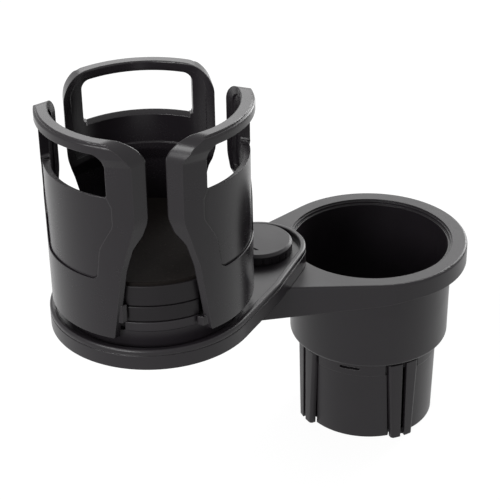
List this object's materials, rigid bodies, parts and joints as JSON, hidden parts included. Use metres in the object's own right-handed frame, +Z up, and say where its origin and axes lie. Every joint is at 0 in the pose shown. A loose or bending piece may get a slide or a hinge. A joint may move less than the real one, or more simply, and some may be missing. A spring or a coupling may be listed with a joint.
{
  "type": "cup holder expander",
  "caption": "Car cup holder expander: a sleeve with spreading feet carries a lower cup, and its arm carries a swivelling tray with windowed jaws round an upper holder.",
  "frame": {"origin": "on the lower cup's axis, in the plane of the sleeve's bottom", "axes": "+Z up along the lower cup's axis, -X along the arm to the swivel"},
  "size_m": [0.2048, 0.112, 0.193],
  "materials": {
    "sleeve_plastic": "satin, fine grain",
    "foot_plastic": "satin, fine grain",
    "cup_plastic": "satin, fine grain",
    "tray_plastic": "satin, fine grain",
    "carrier_plastic": "satin, fine grain",
    "jaw_plastic": "satin, fine grain",
    "riser_plastic": "satin, fine grain",
    "knob_plastic": "satin, fine grain",
    "mat_rubber": "soft, finely textured",
    "washer_plastic": "natural",
    "fastener_steel": "zinc plated"
  },
  "bodies": {
    "base": {"base_sleeve": "sleeve_plastic", "bottom_cover": "sleeve_plastic", "bottom_screws": "fastener_steel"},
    "cup": {"base_cup": "cup_plastic", "cup_washer": "washer_plastic", "cup_screw": "fastener_steel", "swivel_nut": "fastener_steel", "swivel_washer": "washer_plastic"},
    "tray": {"swivel_tray": "tray_plastic", "carrier_washer": "washer_plastic", "carrier_screw": "fastener_steel"},
    "knob": {"lock_knob": "knob_plastic", "knob_bolt": "fastener_steel"},
    "carrier": {"jaw_carrier": "carrier_plastic", "holder_floor": "carrier_plastic", "floor_screws": "fastener_steel", "riser_low": "riser_plastic", "riser_high": "riser_plastic", "riser_mat": "mat_rubber"},
    "jaw_left": {"jaw_left": "jaw_plastic"},
    "jaw_right": {"jaw_right": "jaw_plastic"},
    "jaw_rear": {"jaw_rear": "jaw_plastic"},
    "foot_1": {"foot_1": "foot_plastic"},
    "foot_2": {"foot_2": "foot_plastic"},
    "foot_3": {"foot_3": "foot_plastic"},
    "foot_4": {"foot_4": "foot_plastic"}
  },
  "joints": [
    {"name": "cup_turn", "type": "hinge", "parent": "base", "child": "cup", "pos_m": [0, 0, 0.0435], "axis": [0, 0, 1], "range_deg": [0, 60]},
    {"name": "tray_swivel", "type": "hinge", "parent": "cup", "child": "tray", "pos_m": [-0.0572, 0, 0.0921], "axis": [0, 0, 1], "continuous": true},
    {"name": "knob_turn", "type": "hinge", "parent": "tray", "child": "knob", "pos_m": [-0.0572, 0, 0.0989], "axis": [0, 0, 1], "range_deg": [0, 180]},
    {"name": "carrier_turn", "type": "hinge", "parent": "tray", "child": "carrier", "pos_m": [-0.11504, -0.02232, 0.0986], "axis": [0, 0, 1], "range_deg": [0, 75]},
    {"name": "foot_1_slide", "type": "slide", "parent": "base", "child": "foot_1", "axis": [0.9982, 0.0593, 0], "range_m": [0, 0.008]},
    {"name": "foot_2_slide", "type": "slide", "parent": "base", "child": "foot_2", "axis": [-0.0593, 0.9982, 0], "range_m": [0, 0.008]},
    {"name": "foot_3_slide", "type": "slide", "parent": "base", "child": "foot_3", "axis": [-0.9982, -0.0593, 0], "range_m": [0, 0.008]},
    {"name": "foot_4_slide", "type": "slide", "parent": "base", "child": "foot_4", "axis": [0.0593, -0.9982, 0], "range_m": [0, 0.008]},
    {"name": "jaw_left_slide", "type": "slide", "parent": "carrier", "child": "jaw_left", "axis": [-0.9593, -0.2823, 0], "range_m": [0, 0.011]},
    {"name": "jaw_right_slide", "type": "slide", "parent": "carrier", "child": "jaw_right", "axis": [0.7242, -0.6896, 0], "range_m": [0, 0.011]},
    {"name": "jaw_rear_slide", "type": "slide", "parent": "carrier", "child": "jaw_rear", "axis": [0.2351, 0.972, 0], "range_m": [0, 0.011]}
  ],
  "couplings": [
    {"joint": "foot_1_slide", "follows": "cup_turn", "m_per_rad": 0.0076394},
    {"joint": "foot_2_slide", "follows": "cup_turn", "m_per_rad": 0.0076394},
    {"joint": "foot_3_slide", "follows": "cup_turn", "m_per_rad": 0.0076394},
    {"joint": "foot_4_slide", "follows": "cup_turn", "m_per_rad": 0.0076394},
    {"joint": "jaw_left_slide", "follows": "carrier_turn", "m_per_rad": 0.0084033},
    {"joint": "jaw_right_slide", "follows": "carrier_turn", "m_per_rad": 0.0084033},
    {"joint": "jaw_rear_slide", "follows": "carrier_turn", "m_per_rad": 0.0084033}
  ]
}
